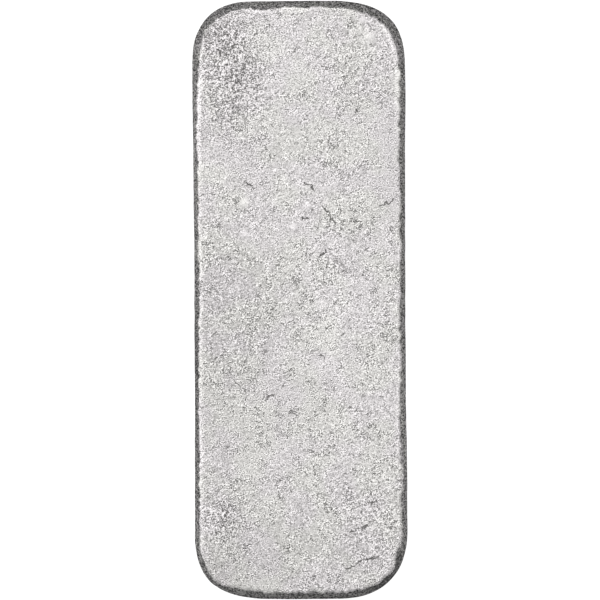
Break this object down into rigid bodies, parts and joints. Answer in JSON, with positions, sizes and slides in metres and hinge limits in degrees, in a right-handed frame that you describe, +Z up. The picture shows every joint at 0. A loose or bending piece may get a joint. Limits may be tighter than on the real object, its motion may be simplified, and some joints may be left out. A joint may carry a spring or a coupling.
{
  "type": "metal ingot",
  "caption": "Cast bar of silvery metal with drafted walls, rounded corners and a rough pitted skin; lies flat and stacks on its face.",
  "frame": {"origin": "middle of the flat base, on the surface the ingot lies on", "axes": "+Y along the bar towards the end with the tighter corners, +X across it, +Z up from the base to the face"},
  "size_m": [0.0418, 0.118, 0.0207],
  "materials": {
    "cast_metal": "as-cast fine silver: bright, finely pitted face, duller grey walls"
  },
  "bodies": {
    "root": {"ingot": "cast_metal"}
  },
  "joints": []
}
